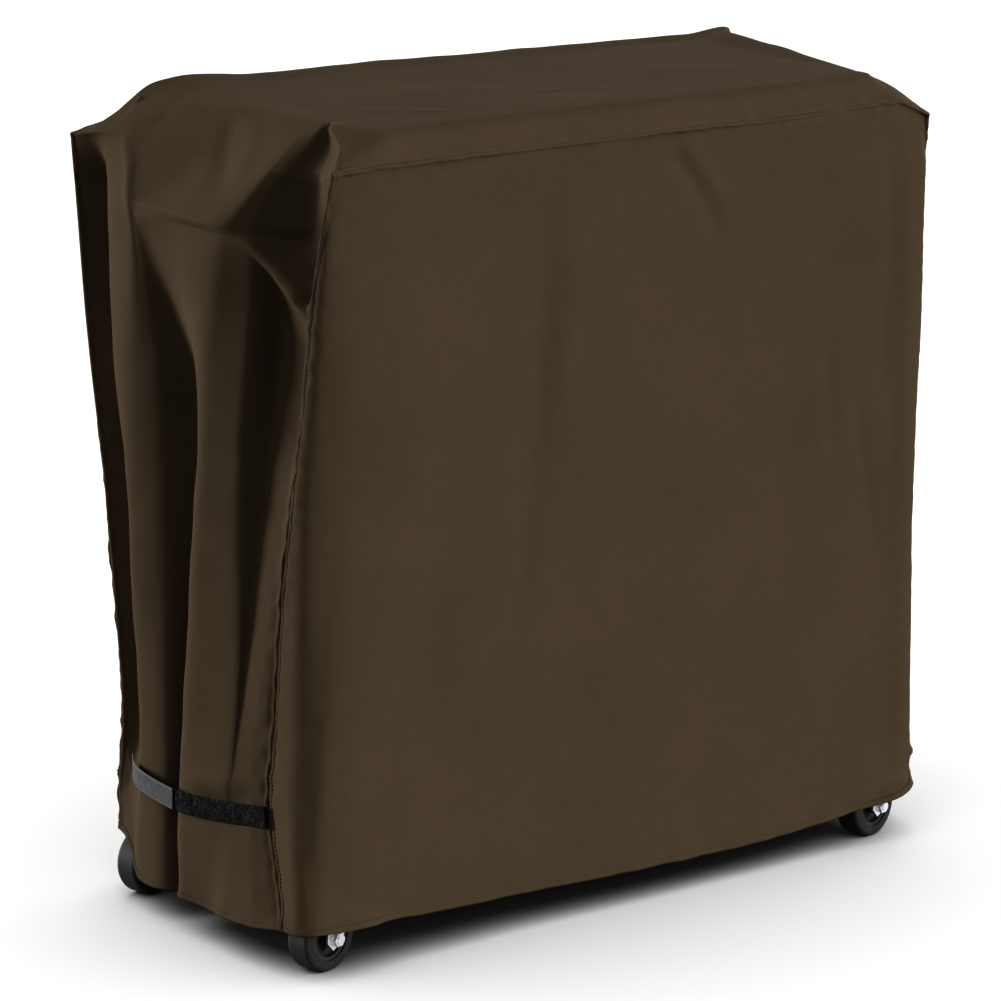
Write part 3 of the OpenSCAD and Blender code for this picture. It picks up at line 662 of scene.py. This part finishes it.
SIDES = 5                           # sides of a thread
DIVE = (-1.2, .5, .5, -1.2)         # height of a stitch along its length, in radii


def stitches(name, path, out, pitch=4.4 * MM, length=3.0 * MM, radius=.42 * MM, lift=.1 * MM):
    """A line of thread stitches along a path of points: each is a short rod that dives in at both ends."""
    path, out = np.asarray(path, float), np.asarray(out, float)
    at = lengths_along(path)
    count = int(at[-1] / pitch)
    verts, faces = [], []
    ring = [(math.cos(a), math.sin(a)) for a in np.arange(SIDES) * 2 * math.pi / SIDES]
    for k in range(count):
        s = np.linspace(k * pitch, k * pitch + length, len(DIVE))
        centre = hermite(at, path, s)
        up = hermite(at, out, s)
        up /= np.linalg.norm(up, axis=1, keepdims=True)
        go = np.gradient(centre, axis=0)
        go /= np.linalg.norm(go, axis=1, keepdims=True)
        side = np.cross(go, up)
        centre = centre + up * (lift + radius * np.array(DIVE))[:, None]
        base = len(verts)
        for c, u, w in zip(centre, up, side):
            verts += [c + radius * (x * w + y * u) for x, y in ring]
        last = len(verts) - SIDES
        for start in range(base, last, SIDES):
            for q in range(SIDES):
                a, b = start + q, start + (q + 1) % SIDES
                faces.append((a, b, b + SIDES, a + SIDES))
        faces.append([base + q for q in reversed(range(SIDES))])
        faces.append([last + q for q in range(SIDES)])
    return add_mesh(name, verts, faces)


def contour(grid, dist, side, at):
    """Points of the grid that lie at a distance from one of its edges, in order along that edge."""
    g, d = grid, dist
    if side in ("left", "right"):
        g, d = grid.transpose(1, 0, 2), dist.T
    if side in ("right", "last"):
        g, d = g[::-1], d[::-1]
    path = []
    for k in range(g.shape[1]):
        path.append([np.interp(at, d[:, k], g[:, k, c]) for c in range(3)])
    return np.array(path)


# ---- straps


def ribbon(name, path, width, thick, rise, across=24):
    """A flat strap that stands on its edge along the points of its middle line; rise lifts its outer face."""
    path = np.asarray(path, float)
    at = lengths_along(path)
    n = max(8, int(at[-1] / (2.2 * MM)))
    mid = hermite(at, path, np.linspace(0, at[-1], n))
    go = np.gradient(mid, axis=0)
    go /= np.linalg.norm(go, axis=1, keepdims=True)
    up = np.tile([0, 0, 1.0], (n, 1))
    up -= go * (up * go).sum(axis=1, keepdims=True)
    up /= np.linalg.norm(up, axis=1, keepdims=True)
    out = np.cross(up, go)
    if out[n // 2] @ mid[n // 2] < 0:
        out = -out
    verts, uvs = [], []
    share = np.linspace(-.5, .5, across + 1)
    round_off = 1 - .55 * np.clip((np.abs(share) - .44) / .06, 0, 1) ** 2
    s = np.linspace(0, at[-1], n)
    for layer in (1, -1):
        for i in range(n):
            for j, w in enumerate(share):
                lift = thick / 2 * layer * round_off[j]
                if layer == 1:
                    lift += rise(s[i], w * width)
                verts.append(mid[i] + up[i] * w * width + out[i] * lift)
                uvs.append((s[i], w * width))
    count = n * (across + 1)
    top = grid_faces(n, across + 1, False)
    rim = [*range(across + 1)] + [i * (across + 1) + across for i in range(1, n)]
    rim += [(n - 1) * (across + 1) + j for j in range(across - 1, -1, -1)]
    rim += [i * (across + 1) for i in range(n - 2, 0, -1)]
    faces = [tuple(f) for f in top] + [tuple(int(x) + count for x in f[::-1]) for f in top]
    for a, b in zip(rim, rim[1:] + rim[:1]):
        faces.append((b, a, a + count, b + count))
    obj = add_mesh(name, verts, faces, uvs)
    clean_normals(obj)
    return obj


def clean_normals(obj):
    """Faces all turned outwards."""
    bm = bmesh.new()
    bm.from_mesh(obj.data)
    bmesh.ops.recalc_face_normals(bm, faces=bm.faces)
    bm.to_mesh(obj.data)
    bm.free()


# ---- materials


class Nodes:
    """A small helper to build one procedural material."""

    def __init__(self, name):
        self.mat = bpy.data.materials.new(name)
        self.mat.use_nodes = True
        self.tree = self.mat.node_tree
        self.bsdf = self.tree.nodes["Principled BSDF"]

    def add(self, kind, inputs=None, **props):
        node = self.tree.nodes.new(kind)
        for key, value in props.items():
            setattr(node, key, value)
        for key, value in (inputs or {}).items():
            self.put(node.inputs[key], value)
        return node

    def put(self, socket, value):
        if isinstance(value, bpy.types.NodeSocket):
            self.tree.links.new(value, socket)
        else:
            socket.default_value = value

    def math(self, operation, a, b=0.0):
        node = self.add("ShaderNodeMath", operation=operation)
        for socket, value in zip(node.inputs, (a, b)):
            self.put(socket, value)
        return node.outputs[0]

    def times(self, a, b):
        return self.math("MULTIPLY", a, b)

    def plus(self, a, b):
        return self.math("ADD", a, b)

    def noise(self, coords, scale, detail=3.0, rough=.5):
        inputs = {"Vector": coords, "Scale": scale, "Detail": detail, "Roughness": rough}
        return self.add("ShaderNodeTexNoise", inputs).outputs["Fac"]

    def ramp(self, value, stops):
        node = self.add("ShaderNodeValToRGB", {"Fac": value})
        elements = node.color_ramp.elements
        while len(elements) < len(stops):
            elements.new(.5)
        for element, (at, colour) in zip(elements, stops):
            element.position = at
            element.color = (*colour, 1) if len(colour) == 3 else colour
        return node.outputs["Color"]

    def scale_range(self, value, low, high):
        inputs = {"Value": value, "To Min": low, "To Max": high}
        return self.add("ShaderNodeMapRange", inputs).outputs["Result"]

    def mix(self, factor, a, b):
        node = self.add("ShaderNodeMix", data_type="RGBA")
        for socket, value in zip((node.inputs["Factor"], node.inputs[6], node.inputs[7]), (factor, a, b)):
            self.put(socket, value)
        return node.outputs[2]

    def bump(self, height, distance, strength=1.0, under=None):
        inputs = {"Height": height, "Distance": distance, "Strength": strength}
        if under is not None:
            inputs["Normal"] = under
        return self.add("ShaderNodeBump", inputs).outputs["Normal"]

    def place(self):
        return self.add("ShaderNodeTexCoord").outputs["Object"]

    def set(self, **values):
        for key, value in values.items():
            self.put(self.bsdf.inputs[key.replace("_", " ")], value)
        return self.mat


def tint(colour, share):
    """The colour, lighter or darker by a share."""
    return tuple(min(1, c * share) for c in colour)


def cloth_material(name, colour, cell=1.1 * MM):
    """Plain woven polyester: threads over and under, slight fading in patches, and a dusty nap."""
    n = Nodes(name)
    uv = n.add("ShaderNodeUVMap", uv_map="cloth").outputs["UV"]
    split = n.add("ShaderNodeSeparateXYZ", {"Vector": uv})
    wave = math.pi / cell
    warp = n.math("SINE", n.times(split.outputs["X"], wave))
    weft = n.math("SINE", n.times(split.outputs["Y"], wave))
    weave = n.times(warp, weft)
    place = n.place()
    fibre = n.noise(place, 900, 2)
    patch = n.noise(place, 5.5, 4, .6)
    speck = n.noise(place, 60, 3, .6)
    mix = n.plus(n.times(patch, .6), n.times(speck, .4))
    mix = n.plus(mix, n.times(weave, .045))
    colour_out = n.ramp(mix, [(.30, tint(colour, .92)), (.52, colour), (.72, tint(colour, 1.09))])
    height = n.plus(weave, n.times(fibre, .6))
    under = n.bump(n.noise(place, 38, 3, .55), 1.2 * MM, .25)
    normal = n.bump(height, .16 * MM, .35, under)
    rough = n.scale_range(speck, .85, .97)
    n.set(Base_Color=colour_out, Roughness=rough, Normal=normal)
    n.set(Specular_IOR_Level=.04)
    return n.mat


RIB = .9 * MM                       # size of the webbing's ribs
TWILL = 1.3 * MM                    # size of its twill


def webbing_material(name, colour):
    """Ribbed woven webbing with paler edges."""
    n = Nodes(name)
    uv = n.add("ShaderNodeUVMap", uv_map="cloth").outputs["UV"]
    split = n.add("ShaderNodeSeparateXYZ", {"Vector": uv})
    rib = n.math("SINE", n.times(split.outputs["X"], math.pi / RIB))
    slant = n.plus(split.outputs["Y"], split.outputs["X"])
    twill = n.math("SINE", n.times(slant, math.pi / TWILL))
    edge = n.math("ABSOLUTE", split.outputs["Y"])
    fade = {"Value": edge, "From Min": .0095, "From Max": .0112}
    pale = n.add("ShaderNodeMapRange", fade).outputs["Result"]
    speck = n.noise(n.place(), 120, 3)
    worn = n.plus(n.times(rib, .12), speck)
    dark = n.ramp(worn, [(.35, tint(colour, .7)), (.65, tint(colour, 1.2))])
    both = n.mix(pale, dark, (*tint(colour, 1.6), 1))
    normal = n.bump(n.plus(rib, n.times(twill, .5)), .25 * MM, .5)
    n.set(Base_Color=both, Roughness=n.scale_range(speck, .6, .75), Normal=normal)
    return n.set(Specular_IOR_Level=.12)


def loop_material(name, colour):
    """Fuzzy loop tape."""
    n = Nodes(name)
    place = n.place()
    curl = n.noise(place, 520, 4, .7)
    speck = n.noise(place, 170, 4, .7)
    nap = n.times(curl, speck)
    colour_out = n.ramp(nap, [(.12, tint(colour, .35)), (.26, colour), (.42, tint(colour, 4.5))])
    normal = n.bump(curl, .9 * MM, .9)
    return n.set(Base_Color=colour_out, Roughness=.92, Normal=normal, Specular_IOR_Level=.03)


def paint_material(name, colour, rough, grain, grain_depth, worn=(.16, .15, .14)):
    """Paint or enamel over steel, with orange peel, dust and a few rubbed marks."""
    n = Nodes(name)
    place = n.place()
    dust = n.noise(place, 9, 5, .65)
    rub = n.noise(place, 46, 5, .75)
    marks = n.ramp(n.times(dust, rub), [(.0, (0, 0, 0)), (.38, (0, 0, 0)), (.46, (1, 1, 1))])
    base = n.ramp(dust, [(.3, tint(colour, .8)), (.7, tint(colour, 1.35))])
    both = n.mix(n.times(marks, .5), base, (*worn, 1))
    normal = n.bump(n.noise(place, grain, 2), grain_depth, .5)
    return n.set(Base_Color=both, Roughness=n.scale_range(rub, rough - .08, rough + .14), Normal=normal)


def metal_material(name, colour, rough, brushed=(1, 1, 1), smudge=.12):
    """Plated or bare metal with fine scratches, smudges and dull patches."""
    n = Nodes(name)
    place = n.place()
    long_way = n.add("ShaderNodeMapping", {"Vector": place, "Scale": brushed}).outputs["Vector"]
    scratch = n.noise(long_way, 700, 3, .7)
    smear = n.noise(place, 55, 4, .6)
    spots = n.noise(place, 240, 3, .7)
    base = n.ramp(n.plus(n.times(smear, .7), n.times(spots, .3)),
                  [(.30, tint(colour, .72)), (.55, colour), (.75, tint(colour, 1.12))])
    normal = n.bump(scratch, .05 * MM, .35)
    rough_out = n.scale_range(smear, rough - smudge / 2, rough + smudge)
    return n.set(Base_Color=base, Metallic=1.0, Roughness=rough_out, Normal=normal)


def plastic_material(name, colour, rough, grain=420, depth=.06 * MM):
    """Moulded plastic or rubber: fine texture, scuffs and dust."""
    n = Nodes(name)
    place = n.place()
    dust = n.noise(place, 26, 5, .7)
    grit = n.noise(place, grain, 3, .6)
    base = n.ramp(dust, [(.32, tint(colour, .75)), (.55, colour), (.78, tint(colour, 2.1))])
    normal = n.bump(grit, depth, .45, n.bump(dust, .5 * MM, .15))
    n.set(Base_Color=base, Roughness=n.scale_range(dust, rough - .07, rough + .16), Normal=normal)
    return n.set(Specular_IOR_Level=.25)


FABRIC = (.0570, .0424, .0272)
materials = {
    "fabric": cloth_material("cover_cloth", FABRIC),
    "webbing": webbing_material("hook_webbing", (.050, .051, .053)),
    "loop_tape": loop_material("loop_tape", (.012, .012, .012)),
    "enamel": paint_material("black_enamel", (.012, .012, .013), .26, 190, .12 * MM),
    "frame_paint": paint_material("powder_coat", (.018, .018, .019), .46, 620, .10 * MM),
    "zinc": metal_material("zinc_plate", (.80, .81, .83), .26, (1, 1, 6)),
    "chrome_rod": metal_material("plated_rod", (.74, .74, .75), .16, (.05, 1, 1)),
    "grate_iron": paint_material("seasoned_iron", (.030, .029, .028), .55, 300, .35 * MM),
    "hub_plastic": plastic_material("hub_plastic", (.016, .016, .017), .55),
    "tread": plastic_material("wheel_tread", (.010, .010, .0105), .62, 260, .10 * MM),
}
thread = plastic_material("thread", (.030, .022, .014), .60, 900, .03 * MM)


def finish_piece(obj, slot, body=None, material=None):
    """Gives a piece the material of its slot, or the material given, and, if it is named, the body that it
    rides on.
    """
    obj.data.materials.clear()
    obj.data.materials.append(material or materials[slot])
    if body:
        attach(obj, body)
    return obj


# ---- the cover

(strip_set, front_set, back_set), corner_l, corner_r = shape_cover()
strip_grid, strip_seams, strip_hem = strip_set
front_grid, front_seams, front_hem = front_set
back_grid, back_seams, back_hem = back_set

strip = cloth_piece("cover_strip", strip_grid, strip_seams, strip_hem, False)
front = cloth_piece("cover_front", front_grid, front_seams, front_hem, True)
back = cloth_piece("cover_back", back_grid, back_seams, back_hem, False)
for obj, stands_for in (
    (strip, ["top_panel", "left_end_panel", "right_end_panel", "left_hem", "right_hem"]),
    (front, ["front_panel", "front_hem"]),
    (back, ["back_panel", "back_hem"]),
):
    finish_piece(obj, "fabric", "cover")
    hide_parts(*stands_for)

stitch_lines = {"front": [], "back": [], "strip": []}
for key, grid, flip in (("front", front_grid, True), ("back", back_grid, False)):
    n = normals(grid, flip)
    for side in ("left", "right", "first"):
        dist = edge_distance(grid, side)
        at = HEM_AT if side == "first" else STITCH_AT
        piece = stitches(f"{key}_stitching_{side}", *[contour(field, dist, side, at) for field in (grid, n)])
        stitch_lines[key].append(finish_piece(piece, "fabric", "cover", thread))
n = normals(strip_grid, False)
for side in ("first", "last"):
    dist = edge_distance(strip_grid, side)
    paths = [contour(field, dist, side, HEM_AT) for field in (strip_grid, n)]
    piece = stitches(f"strip_stitching_{side}", *paths)
    stitch_lines["strip"].append(finish_piece(piece, "fabric", "cover", thread))

# ---- straps

STRAP_W = 24 * MM
LOOP_T = 1.4 * MM                   # thickness of the loop tape
HOOK_T = 1.3 * MM                   # thickness of the hook webbing
# Middle lines of the straps at the right end, from the back seam to the front
HOOK_PATH = [(.436, .148, .1590), (.449, .127, .1585), (.4585, .106, .1580), (.4625, .085, .1565),
             (.4655, .050, .1545), (.4670, .022, .1535)]
LOOP_PATH = [(.4640, .050, .1545), (.4650, .022, .1535), (.4650, .004, .1535), (.4610, -.022, .1545),
             (.4560, -.055, .1570), (.4505, -.090, .1605), (.4455, -.124, .1645)]


def on_side(path, side):
    """The path on the right end, or mirrored onto the left one."""
    return [(side * x, y, z) for x, y, z in path]


def fuzz(s, w):
    """Uneven nap of the loop tape."""
    return .5 * MM * (noise.noise(Vector((s * 420, w * 420, 3.0))) + .4)


def selvedge(s, w):
    """Webbing is thicker along its edges."""
    return .35 * MM * math.exp(-((abs(w) - .0105) / .0010) ** 2)


for name, side in (("left", -1), ("right", 1)):
    tape = ribbon(f"{name}_loop_tape", on_side(LOOP_PATH, side), STRAP_W, LOOP_T, fuzz)
    finish_piece(tape, "loop_tape", "cover")
    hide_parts(f"{name}_loop_strap")
    hook = ribbon(f"{name}_hook_webbing", on_side(HOOK_PATH, side), STRAP_W, HOOK_T, selvedge)
    finish_piece(hook, "webbing")
    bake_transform(hook)
    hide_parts(f"{name}_hook_strap")

# ---- finishes of the cart

slot_of = {part["node"]: part["material_slot"] for part in frame["record"]["subparts"]}
for node, obj in frame["nodes"].items():
    obj.data.materials.clear()
    obj.data.materials.append(materials[slot_of[node]])

# ---- stage, camera and light

FLOOR_HALF = 14.0                   # half the floor's width


def stage_material(name, colour):
    n = Nodes(name)
    shade = n.ramp(n.noise(n.place(), 2.0, 2), [(.2, tint(colour, .99)), (.8, colour)])
    return n.set(Base_Color=shade, Roughness=.9, Specular_IOR_Level=.1)


def add_stage():
    """A wide pale floor that lights nothing, so that the cloth keeps its dark folds."""
    h = FLOOR_HALF
    obj = add_mesh("floor", [(-h, -h, 0), (h, -h, 0), (h, h, 0), (-h, h, 0)], [(0, 1, 2, 3)])
    obj.data.materials.append(stage_material("studio_floor", (.78, .78, .78)))
    obj.visible_diffuse = False


def add_camera(azimuth, elevation, distance, target, lens):
    """Camera at an azimuth and elevation in degrees round the target."""
    a, e = math.radians(azimuth), math.radians(elevation)
    back = Vector((math.sin(a) * math.cos(e), -math.cos(a) * math.cos(e), math.sin(e)))
    data = bpy.data.cameras.new("camera")
    data.lens = lens
    data.clip_end = 100
    obj = bpy.data.objects.new("camera", data)
    obj.location = Vector(target) + back * distance
    obj.rotation_euler = (-back).to_track_quat("-Z", "Y").to_euler()
    bpy.context.scene.collection.objects.link(obj)
    bpy.context.scene.camera = obj


def add_sun(name, azimuth, elevation, spread, power, onto_floor=False):
    """A large distant soft light on the object or on the floor. spread is the angle it fills, in degrees."""
    a, e = math.radians(azimuth), math.radians(elevation)
    back = Vector((math.sin(a) * math.cos(e), -math.cos(a) * math.cos(e), math.sin(e)))
    data = bpy.data.lights.new(name, "SUN")
    data.energy = power
    data.angle = math.radians(spread)
    obj = bpy.data.objects.new(name, data)
    obj.location = Vector((0, 0, .45)) + back * 4
    receivers = bpy.data.collections.new(name + "_receivers")
    receivers.objects.link(bpy.data.objects["floor"])
    receivers.collection_objects[0].light_linking.link_state = "INCLUDE" if onto_floor else "EXCLUDE"
    obj.light_linking.receiver_collection = receivers
    obj.rotation_euler = (-back).to_track_quat("-Z", "Y").to_euler()
    bpy.context.scene.collection.objects.link(obj)


add_stage()
add_camera(azimuth=-37.81, elevation=13.28, distance=5.074, target=(-.033, 0, .429), lens=161.8)
add_sun("key", azimuth=22, elevation=17, spread=18, power=4.2)
add_sun("left_rim", azimuth=-146, elevation=10, spread=20, power=4.5)
add_sun("left_fill", azimuth=-75, elevation=38, spread=60, power=.75)
add_sun("right_fill", azimuth=112, elevation=18, spread=40, power=1.2)
add_sun("overhead", azimuth=0, elevation=86, spread=110, power=3.0, onto_floor=True)

AMBIENT = .16
GLOSSY_SHARE = .28                  # how much more of the surroundings shows in reflections
world = bpy.data.worlds.new("studio")
world.use_nodes = True
background = world.node_tree.nodes["Background"]
background.inputs["Color"].default_value = (1, 1, 1, 1)
path = world.node_tree.nodes.new("ShaderNodeLightPath")
share = world.node_tree.nodes.new("ShaderNodeMath")
share.operation = "MULTIPLY_ADD"
share.inputs[1].default_value = GLOSSY_SHARE
share.inputs[2].default_value = AMBIENT
total = world.node_tree.nodes.new("ShaderNodeMath")
total.operation = "MULTIPLY_ADD"
total.inputs[1].default_value = 1 - AMBIENT
links = world.node_tree.links
links.new(path.outputs["Is Glossy Ray"], share.inputs[0])
links.new(path.outputs["Is Camera Ray"], total.inputs[0])
links.new(share.outputs[0], total.inputs[2])
links.new(total.outputs[0], background.inputs["Strength"])
bpy.context.scene.world = world
bpy.context.scene.view_settings.view_transform = "Standard"
bpy.context.scene.view_settings.look = "High Contrast"
